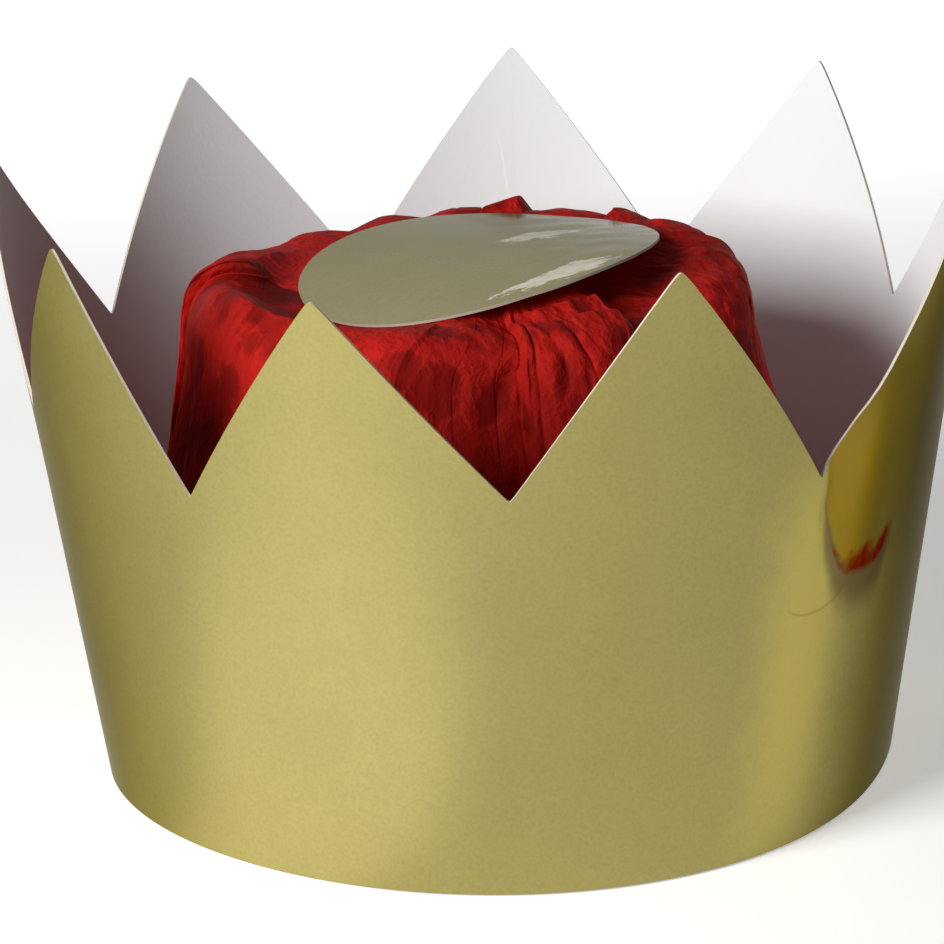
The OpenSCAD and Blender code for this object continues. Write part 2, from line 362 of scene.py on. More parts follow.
class CrownSizes(bpy.types.PropertyGroup):
    """Sizes of the crown's three pieces"""

    rim_r: length("Rim radius", "Mean outer radius of the bottom rim", 90)
    tip_r: length("Tip radius", "Mean outer radius at the height of the points", 108)
    crown_h: length("Crown height", "Height of the points above the rim", 132.5)
    valley_h: length("Valley height", "Height of the valleys between the points", 84.5)
    card_t: length("Card thickness", "Thickness of the band's card", 0.6)
    rim_oval: length("Rim oval", "How much longer than its mean the rim's long half axis is", 4.5)
    tip_oval: length("Tip oval", "The same at the height of the points", 1)
    ring_lobe: length("Bulges", "Height of three soft bulges round the ring", 2.2)
    lean_d: length("Lean", "How far one point leans outwards at its tip", 2.5)
    crease_d: length("Crease depth", "How far the card is pressed in below the creased valley", 1)
    crease_h: length("Crease length", "How far the crease runs down from the valley", 34)
    bent_d: length("Bend", "How far the point beside the crease is bent outwards", 6)
    tissue_t: length("Tissue thickness", "Thickness of the tissue with its plies", 0.16)
    hem_h: length("Hem height", "Height of the glued hem above the rim", 14)
    hem_lift: length("Hem lift", "Height of the hem's cut edge above the rim", 2)
    cap_r: length("Cap radius", "Radius of the tissue cap at its shoulder", 62.5)
    cap_h: length("Cap height", "Height of the tissue cap at its shoulder", 108.5)
    shoulder_h: length("Shoulder height", "Height over which the shoulder is rounded", 13)
    ledge_w: length("Ledge width", "Width of the level ledge outside the disc", 4)
    bow_d: length("Bow", "How far the cap bows in from the band above its hem", 9)
    cap_lean: length("Cap lean", "How far the top of the cap leans to the left", 6)
    cap_flat: length("Cap flattening", "How much shallower than wide the top of the cap is", 2.5)
    cap_rise: length("Cap rise", "Rise of the middle of the cap over its shoulder", 3)
    gather_r: length("Gather radius", "Radius of the gathered opening under the disc", 13)
    disc_r: length("Disc radius", "Radius of the card disc", 39.2)
    disc_t: length("Disc thickness", "Thickness of the disc's card", 0.6)
    disc_off: length("Disc offset", "How far the disc lies to the left of the middle", 3.8)
    seat_gap: length("Seat gap", "Clearance between the disc and the folds", 0.3)
    curl_r: length("Curl radius", "Radius to which the disc is curled", 166)


class CrownColours(bpy.types.PropertyGroup):
    """Colours of the crown's finishes, and of the light and shade painted on them"""

    gold: colour("Gold foil", "Face of the band", (0.348, 0.302, 0.108))
    disc_gold: colour("Disc foil", "Face of the disc", (0.345, 0.315, 0.170))
    lining: colour("Lining", "White back of the card", (0.87, 0.87, 0.87))
    core: colour("Card edge", "Cut edge of the card", (0.74, 0.66, 0.54))
    tissue: colour("Tissue", "Red tissue paper", (0.31, 0.0085, 0.006))
    red_mark: colour("Red mark", "Red mark beside the creased valley", (0.20, 0.014, 0.004))
    # Colour of painted shade below the loop
    painted_shade: colour("Painted shade", "Painted shade below the red mark", (0.13, 0.085, 0.05))
    # Colour of a painted dark reflection
    dark_reflection: colour("Dark reflection", "Painted dark reflection on the bent point", (0.16, 0.11, 0.02))
    # Colour of painted glints on the disc
    glint: colour("Painted glints", "Painted reflections in patches of the disc", (0.86, 0.82, 0.67))
    # Colour of a painted warm reflection
    warm_reflection: colour("Warm reflection", "Painted warm reflection beside the creased valley", (0.36, 0.23, 0.02))
    # Colour of a painted sheen
    bright: colour("Painted sheen", "Painted sheen before the creased valley", (0.64, 0.53, 0.12))
    # Colour of painted shade along the fine crease
    crease_shade: colour("Crease shade", "Painted shade along the fine crease", (0.20, 0.15, 0.05))
    grazed: colour("Grazed foil", "Shine of the foil at a grazing angle", (0.36, 0.345, 0.33))
    floor: colour("Floor", "Pale floor under the crown", (0.85, 0.85, 0.85))


# Small helpers


def mix(a, b, t):
    """A value the share t of the way from a to b."""
    return a + (b - a) * t


def smooth(a, b, x):
    """0 at a and 1 at b, smooth between."""
    t = np.clip((x - a) / (b - a), 0, 1)
    return t * t * (3 - 2 * t)


def crowd(t, amount):
    """A share from 0 to 1, moved so that even shares lie closer together at both ends."""
    return t - amount * math.sin(2 * math.pi * t) / (2 * math.pi)


def wrapped(angle):
    """An angle brought to between -180 and 180 degrees."""
    return angle - 360 * np.floor((angle + 180) / 360)


def sin_deg(angle):
    """Sine of an angle in degrees."""
    return np.sin(np.radians(angle))


def cos_deg(angle):
    """Cosine of an angle in degrees."""
    return np.cos(np.radians(angle))


def shade(tint, level):
    """A colour made darker or lighter."""
    return tuple(min(1, c * level) for c in tint)


def size(name):
    """One of the crown's sizes in millimetres."""
    return getattr(bpy.context.scene.crown_sizes, name) / MM


# Forms that the pieces share


def corner(i):
    """Direction in degrees and height in millimetres of a corner of the cut, valleys even and tips odd."""
    if i >= 2 * POINTS:
        angle, height = corner(i - 2 * POINTS)
        return angle + 360, height
    stray = (VALLEY_STRAY if i % 2 == 0 else TIP_STRAY)[i // 2]
    height = size("valley_h") if i % 2 == 0 else size("crown_h")
    return FIRST_VALLEY + i * PITCH / 2 + stray[0], height + stray[1]


def bent_point(angle, z):
    """How far the point beside the creased valley stands out, less the crease that is pressed in."""
    valley, valley_z = corner(2 * CREASED_VALLEY)
    low = valley_z - size("crease_h")
    beside = wrapped(angle - valley)
    bent = size("bent_d") * smooth(low, size("crown_h"), z)
    bent = bent * smooth(0, BEND_FULL, beside) * (1 - smooth(BEND_FADE, BEND_END, beside))
    start, deepest, end = CREASE_FACE
    waves = sum(half * np.sin(z * rate + begin) for half, rate, begin in CREASE_WAVES)
    past = beside + waves - CREASE_ASIDE
    pressed = CREASE_SHARE * size("crease_d") * smooth(low + CREASE_FOOT, valley_z, z)
    pressed = pressed * smooth(start, deepest, past) * (1 - smooth(deepest, end, past))
    return bent - pressed


def leaning_point(angle, z):
    """How far the leaning point stands out."""
    beside = np.abs(wrapped(angle - corner(2 * LEANING_TIP + 1)[0]))
    rise = smooth(size("valley_h") - LEAN_LOW, size("crown_h"), z)
    return size("lean_d") * rise * (1 - smooth(0, LEAN_HALF, beside))


def strip_radius(angle, z):
    """Outer radius of the card ring in millimetres, out of round and creased beside one valley."""
    s = z / size("crown_h")
    ring = mix(size("rim_r"), size("tip_r"), s)
    ring = ring + mix(size("rim_oval"), size("tip_oval"), s) * cos_deg(2 * (angle - OVAL_TURN))
    ring = ring + size("ring_lobe") * cos_deg(3 * (angle - LOBE_TURN))
    return ring + bent_point(angle, z) + leaning_point(angle, z)


def disc_height(x, y):
    """Height of the top of the curled and tilted disc over a place, in millimetres."""
    top = size("cap_h") + size("cap_rise") + size("seat_gap") + size("disc_t")
    along = x + size("disc_off")
    across = along * sin_deg(-CURL_TURN) + y * cos_deg(CURL_TURN)
    sag = size("curl_r") - np.sqrt(size("curl_r") ** 2 - across**2)
    return top + along * math.tan(math.radians(DISC_TILT)) - sag / cos_deg(DISC_TILT)


# Meshes


def only(obj):
    """Selects one object and makes it active."""
    bpy.ops.object.select_all(action="DESELECT")
    obj.select_set(True)
    bpy.context.view_layer.objects.active = obj
    return obj


def new_piece(name):
    """Names the primitive that was just added."""
    obj = bpy.context.object
    obj.name = name
    obj.data.name = name
    return obj


def points_of(obj):
    """Places of a mesh's points, one row each."""
    values = np.empty(len(obj.data.vertices) * 3, np.float32)
    obj.data.vertices.foreach_get("co", values)
    return values.reshape(-1, 3).astype(float)


def place_points(obj, points):
    """Moves every point of a mesh to its place, in millimetres."""
    obj.data.vertices.foreach_set("co", (np.asarray(points) * MM).astype(np.float32).ravel())
    obj.data.update()


def lay_flat_map(obj, u, v):
    """Writes each point's place on the flat sheet, in metres, as the piece's UV map."""
    layer = obj.data.uv_layers[0] if obj.data.uv_layers else obj.data.uv_layers.new(name="Flat")
    index = np.empty(len(obj.data.loops), np.int32)
    obj.data.loops.foreach_get("vertex_index", index)
    layer.data.foreach_set("uv", np.stack([u[index], v[index]], 1).astype(np.float32).ravel())


def turn_over(obj):
    """Turns all the faces of a sheet to its other side."""
    only(obj)
    bpy.ops.object.mode_set(mode="EDIT")
    bpy.ops.mesh.select_all(action="SELECT")
    bpy.ops.mesh.flip_normals()
    bpy.ops.object.mode_set(mode="OBJECT")


def face_outwards(obj):
    """Turns a sheet's faces away from the ring's axis where they point inwards."""
    faces = obj.data.polygons
    out = sum(p.area * p.normal.dot(Vector((p.center.x, p.center.y, 0))) for p in faces)
    if out < 0:
        turn_over(obj)


def dress(obj, *finishes):
    """Gives a piece its materials."""
    obj.data.materials.clear()
    for finish in finishes:
        obj.data.materials.append(finish)


def thicken(obj, thickness, inside_slot, edge_slot, even=True, thinned=""):
    """Gives a sheet its thickness on its inner side, with other finishes there and on the cut edge."""
    only(obj)
    modifier = obj.modifiers.new("Card", "SOLIDIFY")
    modifier.thickness = thickness
    modifier.offset = -1
    modifier.use_even_offset = even
    modifier.use_quality_normals = True
    modifier.material_offset = inside_slot
    modifier.material_offset_rim = edge_slot
    modifier.vertex_group = thinned
    bpy.ops.object.modifier_apply(modifier=modifier.name)


# Materials


class Wire:
    """One socket of a material, so that shader maths is written as arithmetic."""

    def __init__(self, finish, socket):
        self.finish = finish
        self.socket = socket

    def math(self, operation, *values):
        """A maths node on the values."""
        return self.finish.node("ShaderNodeMath", {"operation": operation}, dict(enumerate(values)))

    def __add__(self, other):
        return self.math("ADD", self, other)

    def __radd__(self, other):
        return self.math("ADD", other, self)

    def __sub__(self, other):
        return self.math("SUBTRACT", self, other)

    def __rsub__(self, other):
        return self.math("SUBTRACT", other, self)

    def __mul__(self, other):
        return self.math("MULTIPLY", self, other)

    def __truediv__(self, other):
        return self.math("DIVIDE", self, other)

    def __pow__(self, other):
        return self.math("POWER", self, other)

    def __abs__(self):
        return self.math("ABSOLUTE", self)

    def at_least(self, other):
        """The larger of two values."""
        return self.math("MAXIMUM", self, other)


class Finish:
    """The nodes of one material or of the world, and the single method that adds them."""

    def __init__(self, owner):
        self.owner = owner
        owner.use_nodes = True
        self.tree = owner.node_tree
        self.tree.nodes.clear()

    def node(self, kind, settings=None, sockets=None, output=0):
        """Adds a node of a kind, sets its settings first and then its sockets, and gives one output."""
        made = self.tree.nodes.new(kind)
        for key, value in (settings or {}).items():
            setattr(made, key, value)
        for key, value in (sockets or {}).items():
            socket = made.inputs[key]
            if isinstance(value, Wire):
                self.tree.links.new(value.socket, socket)
            elif socket.type == "RGBA":
                socket.default_value = (*value, 1)
            else:
                socket.default_value = value
        return Wire(self, made.outputs[output]) if made.outputs else None

    def place(self, source="Object"):
        """Place on the piece, from its own coordinates or its flat map."""
        return self.node("ShaderNodeTexCoord", output=source)

    def axis(self, place, name):
        """One of the three values of a place."""
        return self.node("ShaderNodeSeparateXYZ", None, {0: place}, output=name)

    def noise(self, place, scale, detail=3, roughness=0.5, stretch=None):
        """A soft random pattern around one half."""
        if stretch:
            place = self.node("ShaderNodeMapping", None, {"Vector": place, "Scale": stretch})
        sockets = {"Vector": place, "Scale": scale, "Detail": detail, "Roughness": roughness}
        return self.node("ShaderNodeTexNoise", None, sockets)

    def ridges(self, place, stretch, **sockets):
        """A random pattern of sharp ridges, like crumpled paper."""
        place = self.node("ShaderNodeMapping", None, {"Vector": place, "Scale": stretch})
        settings = {"noise_type": "RIDGED_MULTIFRACTAL", "normalize": True}
        return self.node("ShaderNodeTexNoise", settings, {"Vector": place} | sockets)

    def blend(self, factor, a, b):
        """A colour between two colours."""
        return self.node("ShaderNodeMix", {"data_type": "RGBA"}, {0: factor, 6: a, 7: b}, output=2)

    def step(self, value, low, high):
        """0 below low and 1 above high, smooth between."""
        return self.node(
            "ShaderNodeMapRange",
            {"interpolation_type": "SMOOTHSTEP"},
            {"Value": value, "From Min": low, "From Max": high, "To Min": 0.0, "To Max": 1.0},
        )

    def fade(self, value, full, end):
        """1 below full and 0 above end, smooth between."""
        return 1 - self.step(value, full, end)

    def window(self, value, low, low_full, high_full, high):
        """1 between the two full ends, fading to 0 at the outer ends."""
        return self.step(value, low, low_full) * self.fade(value, high_full, high)

    def bump(self, height, strength, distance):
        """Normals of a surface that stands out by a height."""
        sockets = {"Height": height, "Strength": strength, "Distance": distance}
        return self.node("ShaderNodeBump", None, sockets)

    def surface(self, sockets):
        """Ends the material in one surface shader."""
        shader = self.node("ShaderNodeBsdfPrincipled", None, sockets)
        self.node("ShaderNodeOutputMaterial", None, {"Surface": shader})
        return self.owner

    def seen(self):
        """1 for what the camera sees straight, in a reflection or through glass, and 0 for light."""
        seen = self.node("ShaderNodeLightPath", output="Is Camera Ray")
        for name in ("Is Glossy Ray", "Is Transmission Ray"):
            seen = seen.at_least(self.node("ShaderNodeLightPath", output=name))
        return seen


def gold_foil(name, tint, gloss, metal, marks):
    """Satin gold foil on card: a soft mottle, fine grain and slight waves, with the piece's marks, painted
    light among them.
    """
    f = Finish(bpy.data.materials.new(name))
    place = f.place()
    mottle = f.noise(place, scale=45, detail=4, roughness=0.6)
    grain = f.noise(place, scale=1300, detail=2)
    waves = f.noise(place, scale=22, detail=2, roughness=0.4, stretch=(1, 1, 0.4))
    base = f.blend(mottle, shade(tint, 0.92), shade(tint, 1.08))
    base = f.blend(f.step(grain, low=0.35, high=0.7) * 0.16, base, shade(tint, 0.5))
    base, height = marks(f, base, waves * 0.5 + grain * 0.05)
    return f.surface(
        {
            "Base Color": base,
            "Metallic": metal,
            "Roughness": gloss + mottle * 0.05 + grain * 0.05,
            "Normal": f.bump(height, strength=0.12, distance=0.001),
            "Specular Tint": tuple(bpy.context.scene.crown_colours.grazed),
            "Specular IOR Level": 0.1,
        }
    )


def bend_marks(f, base, height):
    """Marks beside the creased valley of the band: painted sheen, reflections and shade, a red mark and a
    fine crease.
    """
    flat = f.place("UV")
    degree = math.radians(1) * bpy.context.scene.crown_sizes.rim_r
    along = f.axis(flat, "X") / degree - 360
    up = f.axis(flat, "Y") / MM
    wander = f.noise(flat, scale=160, detail=2)
    aside = along - LOOP_ALONG
    left = ((0 - aside).at_least(0.0) / LOOP_LEFT[0]) ** 4 * LOOP_LEFT[1]
    right = (aside.at_least(0.0) / LOOP_RIGHT[0]) ** 4 * LOOP_RIGHT[1]
    loop = up - left - right - LOOP_UP + (wander - 0.5) * 3
    base = bent_foil(f, base, along, up, loop, loop + right, wander)
    base = bend_shade_and_mark(f, base, along, up, loop, f.noise(flat, scale=260, roughness=0.55))
    # Fine crease: painted shade along it, and a groove in the bump
    curve = up - (along - FINE_LOW[0]) ** 2 * FINE_CURVE - FINE_LOW[1] + (wander - 0.5) * 1.2
    fine = f.fade(abs(curve), *FINE_HALF) * f.window(along, *FINE_ALONG) * 0.35
    base = f.blend(fine, base, tuple(bpy.context.scene.crown_colours.crease_shade))
    return base, height - fine


def bent_foil(f, base, along, up, loop, open_loop, wander):
    """Painted light on the foil beside the creased valley: a sheen and dim, dark and warm reflections."""
    colours = bpy.context.scene.crown_colours
    # Painted sheen: a lighter strip that leans with the crease
    strip = along - (up - SHEEN_FOOT) * SHEEN_LEAN + (wander - 0.5) * 4
    bright = f.window(strip, *SHEEN_ALONG) * f.window(up, *SHEEN_UP)
    base = f.blend(bright * 0.52, base, tuple(colours.bright))
    # Painted dim reflection: the foil darker towards the right of the creased valley
    dim_reflection = f.window(along, *DIM_REFLECTION_ALONG) * (0.3 + f.step(up, *DIM_REFLECTION_UP) * 0.45)
    base = f.blend(dim_reflection, base, shade(colours.dark_reflection, 0.8))
    beyond = f.step(along, *CREASE_ALONG)
    # Painted dark reflection on the bent point, inside the loop
    dark_reflection = f.step(open_loop, *LOOP_EDGE) * beyond * f.fade(along, *DARK_REFLECTION_ALONG)
    dark_reflection = dark_reflection * f.fade(up, *DARK_REFLECTION_UP) * (0.7 + wander * 0.3)
    base = f.blend(dark_reflection, base, tuple(colours.dark_reflection))
    # Painted warm reflection beside the crease, inside the loop
    warm_reflection = f.step(loop, *LOOP_EDGE) * beyond * f.fade(along, *WARM_REFLECTION_ALONG)
    warm_reflection = warm_reflection * f.fade(up, *WARM_REFLECTION_UP) * (0.45 + wander * 0.5)
    return f.blend(warm_reflection, base, tuple(colours.warm_reflection))


def bend_shade_and_mark(f, base, along, up, loop, blotchy):
    """Painted shade below the loop that bounds the bent foil, and a red mark along it."""
    colours = bpy.context.scene.crown_colours
    # Painted shade below the loop, left out at its upper right
    painted_shade = f.window(loop, *SHADE_PAST) * f.window(along, *SHADE_ALONG)
    painted_shade = painted_shade * (1 - f.step(up, *CLEAR_UP) * f.step(along, *CLEAR_ALONG))
    base = f.blend(painted_shade * 0.75, base, tuple(colours.painted_shade))
    # A red mark along the loop, blotchy at its edges
    reach = 1.8 + f.window(along, *RED_MARK_WIDE) * 3.6 + (blotchy - 0.5) * 7
    red_mark = f.step(loop + blotchy * 2, low=0, high=2.5) * f.fade(loop - reach, full=-2.5, end=2.5)
    red_mark = red_mark * f.window(along, *RED_MARK_ALONG) * f.fade(up, *RED_MARK_UP)
    return f.blend(red_mark * (0.3 + blotchy), base, tuple(colours.red_mark))


def painted_glints(f, base, height):
    """Painted glints: pale ragged patches of painted reflection on the foil of the disc."""
    place = f.place()
    x = f.axis(place, "X") / MM
    y = f.axis(place, "Y") / MM
    ahead, aside = GLINT_TURN
    for middle_x, middle_y, half_long, half_wide in GLINTS:
        along = (x - middle_x) * ahead + (y - middle_y) * aside
        across = (y - middle_y) * ahead - (x - middle_x) * aside
        sheet = f.node("ShaderNodeCombineXYZ", None, {"X": along * 0.16, "Y": across * 0.5})
        rag = f.noise(sheet, scale=1, detail=6, roughness=0.7) - 0.5
        near = 1 - (along / half_long) ** 2 - (across / half_wide) ** 2
        glint = f.step(near + rag * 4.5, low=0.3, high=0.6)
        base = f.blend(glint * (0.8 + rag), base, tuple(bpy.context.scene.crown_colours.glint))
    return base, height


def white_lining(name, tint):
    """Uncoated white back of the card, with faint fibres and a painted highlight along a faint fold in the
    back point.
    """
    f = Finish(bpy.data.materials.new(name))
    place = f.place()
    cloud = f.noise(place, scale=30)
    fibre = f.noise(place, scale=900, roughness=0.6)
    base = f.blend(cloud, shade(tint, 0.96), tint)
    x, y, z = (f.axis(place, name) / MM for name in "XYZ")
    # Painted highlight along the faint fold
    fold = abs(x - FAINT_X + (z - FAINT_Z) * FAINT_LEAN + (cloud - 0.5) * 3)
    faint = f.fade(fold, *FAINT_HALF) * f.window(z, *FAINT_UP) * f.step(y, *FAINT_BACK)
    return f.surface(
        {
            "Base Color": f.blend(faint * 0.4, base, (1.0, 1.0, 1.0)),
            "Roughness": 0.62 + fibre * 0.12,
            "Normal": f.bump(fibre, strength=0.15, distance=0.0003),
            "Specular IOR Level": 0.3,
        }
    )


def card_edge(name, tint):
    """Cut edge of the card, with a fibrous core."""
    f = Finish(bpy.data.materials.new(name))
    fibre = f.noise(f.place(), scale=1800, detail=2)
    base = f.blend(fibre, shade(tint, 0.8), tint)
    return f.surface({"Base Color": base, "Roughness": 0.75 + fibre * 0.1})


def red_tissue(name, tint):
    """Thin crumpled tissue paper with fine creases, painted highlights on its ridges and painted shade in
    the deep fold at the left.
    """
    f = Finish(bpy.data.materials.new(name))
    place = f.place()
    cloud = f.noise(place, scale=70, detail=4, roughness=0.6)
    crumple = f.ridges(
        place, (1, 1, 0.75), Scale=75, Detail=4, Roughness=0.55, Lacunarity=2.3, Offset=0.9, Gain=2.2
    )
    fine = f.noise(place, scale=520, roughness=0.6)
    base = f.blend(f.step(cloud, low=0.32, high=0.68), shade(tint, 0.64), tint)
    # Painted highlight where the crumpled ridges stand highest
    base = f.blend(f.step(crumple, low=0.5, high=0.95) * 0.6, base, shade(tint, 1.7))
    flat = f.place("UV")
    along = f.axis(flat, "X") * (360 / HEM_LENGTH)
    share = f.axis(flat, "Y") / SHARE_HEIGHT
    # Painted shade below the edge of the deep fold
    under = DEEP_SHARE + along * DEEP_CLIMB - share + (cloud - 0.5) * 0.15
    fold_shade = f.window(under, *DEEP_UNDER) * f.window(along, *DEEP_ALONG)
    return f.surface(
        {
            "Base Color": f.blend(fold_shade * 0.85, base, shade(tint, 0.12)),
            "Roughness": 0.60 + fine * 0.15,
            "Normal": f.bump(crumple * 0.8 + fine * 0.12, strength=0.55, distance=0.0014),
            "Specular IOR Level": 0.06,
        }
    )


# Band


def band_columns():
    """Direction and edge height of every column of the strip, from its inner end round to its outer end."""
    last = LAP_TIP + 2 * POINTS + 1
    columns = []
    for i in range(LAP_TIP, last):
        (a0, h0), (a1, h1) = corner(i), corner(i + 1)
        for k in range(FLANK_COLUMNS):
            t = crowd(k / FLANK_COLUMNS, CORNER_CROWDING)
            columns.append((mix(a0, a1, t), mix(h0, h1, t), i + t))
    columns.append((*corner(last), last))
    return columns


def rounded_edge(column):
    """Height of the cut edge with its corners a little rounded."""
    angle, height, where = column
    near = round(where)
    away = abs(angle - corner(near)[0])
    if away > ROUND_REACH:
        return height
    is_tip = near % 2 == 1
    radius = TIP_ROUND if is_tip else VALLEY_ROUND
    slope = (size("crown_h") - size("valley_h")) / (PITCH / 2)
    drop = slope * (math.sqrt(away**2 + radius**2) - away)
    return height - drop if is_tip else height + drop


def press_end(band, angle):
    """Presses the strip's inner end thin, so that the lap hardly shows inside the ring."""
    group = band.vertex_groups.new(name="pressed")
    start, end = PRESSED_OVER
    thick = mix(PRESSED_SHARE, 1, smooth(start, end, angle - corner(LAP_TIP)[0]))
    for level in np.unique(thick):
        group.add(np.nonzero(thick == level)[0].tolist(), float(level), "REPLACE")


class CROWN_OT_band(bpy.types.Operator):
    """Cut the gold card strip into points and bend it into a lapped ring"""

    bl_idname = "crown.band"
    bl_label = "Band"

    def execute(self, context):
        sizes, colours = context.scene.crown_sizes, context.scene.crown_colours
        columns = band_columns()
        across = len(columns) - 1
        bpy.ops.object.select_all(action="DESELECT")
        bpy.ops.mesh.primitive_grid_add(x_subdivisions=across, y_subdivisions=BAND_ROWS, size=1)
        band = new_piece("gold_band")
        flat = points_of(band)
        column = np.rint((flat[:, 0] + 0.5) * across).astype(int)
        share = flat[:, 1] + 0.5
        angle = np.array([c[0] for c in columns])[column]
        z = np.array([rounded_edge(c) for c in columns])[column] * share
        lap_end = corner(LAP_TIP + 1)[0]
        ease = smooth(lap_end + LAP_EASE[0], lap_end + LAP_EASE[1], angle)
        radius = strip_radius(angle, z) - (1 - ease) * (size("card_t") + LAP_ROOM)
        place_points(band, np.stack([radius * sin_deg(angle), -radius * cos_deg(angle), z], 1))
        lay_flat_map(band, angle * math.pi / 180 * sizes.rim_r, z * MM)
        face_outwards(band)
        dress(
            band,
            gold_foil("Gold foil", tuple(colours.gold), gloss=0.27, metal=1.0, marks=bend_marks),
            white_lining("White lining", tuple(colours.lining)),
            card_edge("Card edge", tuple(colours.core)),
        )
        press_end(band, angle)
        thicken(band, sizes.card_t, inside_slot=1, edge_slot=2, thinned="pressed")
        bpy.ops.object.shade_smooth_by_angle(angle=math.radians(SHARP_EDGE))
        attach(band, "root")
        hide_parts("crown_band")
        return {"FINISHED"}


# Tissue


def bezier(points, t):
    """A cubic curve over four control points given as radius and height."""
    s = 1 - t
    weights = (s**3, 3 * s * s * t, 3 * s * t * t, t**3)
    return tuple(sum(w * p[k] for w, p in zip(weights, points)) for k in (0, 1))


def cap_profile(angle, u):
    """Radius and height of the smooth cap: hem below 0, shoulder from 1, ledge at 2 and gather at 3."""
    r, h, low = size("cap_r"), size("cap_h"), size("shoulder_h")
    hem_z, ledge, gather = size("hem_h"), size("disc_r") + size("ledge_w"), size("gather_r")
    crown = h + size("cap_rise")
    lapped = 2 * size("card_t") + LAP_PLAY
    z = mix(hem_z, size("hem_lift"), np.clip(-u, 0, 1))
    hem = strip_radius(angle, z) - lapped - GLUE_GAP
    rim = strip_radius(angle, np.zeros_like(angle)) - lapped
    bowed = (rim - size("bow_d"), hem_z + 2.5 * low)
    side = ((hem, hem_z), bowed, (r + 0.2 * low, h - 3 * low), (r, h - low))
    over = (r - 0.45 * low, h + 0.08 * low)
    shoulder = ((r, h - low), (r - 0.08 * low, h - 0.15 * low), over, (ledge, h))
    middle = ((ledge, h), (ledge - 2 * size("ledge_w"), h), (2 * gather, crown), (gather, crown))
    side_r, side_z = bezier(side, np.clip(u, 0, 1))
    shoulder_r, shoulder_z = bezier(shoulder, np.clip(u - 1, 0, 1))
    middle_r, middle_z = bezier(middle, np.clip(u - 2, 0, 1))
    radius = np.where(u <= 1, side_r, np.where(u <= 2, shoulder_r, middle_r))
    height = np.where(u <= 1, side_z, np.where(u <= 2, shoulder_z, middle_z))
    return np.where(u < 0, hem, radius), np.where(u < 0, z, height)


def fold_columns():
    """Fold line that every column of the tissue follows, and its share of the way to the next line."""
    columns = []
    gaps = np.maximum(np.diff(SIDE, append=SIDE[0] + 360), np.diff(TOP, append=TOP[0] + 360))
    for i, gap in enumerate(gaps):
        density = FRONT_COLUMNS if abs(SIDE[i]) < FRONT_HALF else BACK_COLUMNS
        count = max(FEWEST_COLUMNS, round(gap * density))
        columns += [(i, crowd(k / count, LINE_CROWDING)) for k in range(count)]
    return columns


def share_rows():
    """Share up the tissue of each row, closest together over the shoulder."""
    hem = np.linspace(-1, 0, HEM_ROWS)[:-1]
    side = 1 - (1 - np.linspace(0, 1, SIDE_ROWS)[:-1]) ** SIDE_CROWDING
    shoulder = np.linspace(1, 2, SHOULDER_ROWS)[:-1]
    middle = np.linspace(2, 3, MIDDLE_ROWS)
    return np.concatenate([hem, side, shoulder, middle])


def round_again(values, turn=0):
    """The values of all the fold lines with the last one before them and the first two after them."""
    return np.concatenate([[values[-1] - turn], values, [values[0] + turn, values[1] + turn]])


def between_lines(place, height, line, share):
    """Directions and heights between fold lines: straight to a sharp crease, level over a soft turn."""
    wide = round_again(place, 360)
    tall = round_again(height)
    sharp = round_again(SHARP)[1:]
    turn = (tall[2:] - tall[:-2]) / (wide[2:] - wide[:-2])
    gap = np.diff(wide)[1:][line]
    chord = np.diff(tall)[1:][line]
    leave = mix(turn[line] * gap, chord, sharp[line])
    arrive = mix(turn[line + 1] * gap, chord, sharp[line + 1])
    rise = share * leave
    rise = rise + share**2 * (3 * chord - 2 * leave - arrive) + share**3 * (leave + arrive - 2 * chord)
    return wide[1:][line] + gap * share, tall[1:][line] + rise


def line_groove(line, share):
    """Depth of the narrow grooves along the fold lines on either side of a point."""
    depth = round_again(GROOVE)[1:]
    half = GROOVE_HALF + GROOVE_SPREAD * depth
    gap = np.abs(np.diff(round_again(SIDE, 360))[1:][line])
    before = depth[line] * (1 - smooth(0, half[line], share * gap))
    return before + depth[line + 1] * (1 - smooth(0, half[line + 1], (1 - share) * gap))


def local_folds(angle, u):
    """How far the small cross folds, the swells and the hollows stand out."""
    rise = np.zeros_like(u)
    for first, last, place, height, half in CROSS_FOLDS:
        along = smooth(first, first + CROSS_START, angle) * (1 - smooth(last - CROSS_END, last, angle))
        rise += height * along * np.exp(-(((u - place) / half) ** 2))
    for middle, wide, place, half, height in SWELLS:
        rise += height * np.exp(-(((angle - middle) / wide) ** 2) - ((u - place) / half) ** 2)
    return rise


def speckle(points, spacing, seed):
    """A smooth noise from -1 to 1 at points of three values each, with its waves a spacing apart."""
    shift = Vector((seed * 17.3, seed * 5.1, seed * 9.7))
    return np.array([noise.noise(Vector(p) * (1 / spacing) + shift) for p in points])


def ridge(values, narrow, power):
    """1 where a noise crosses zero, falling to 0 on both sides."""
    return (1 - np.abs(values) * narrow).clip(0, 1) ** power


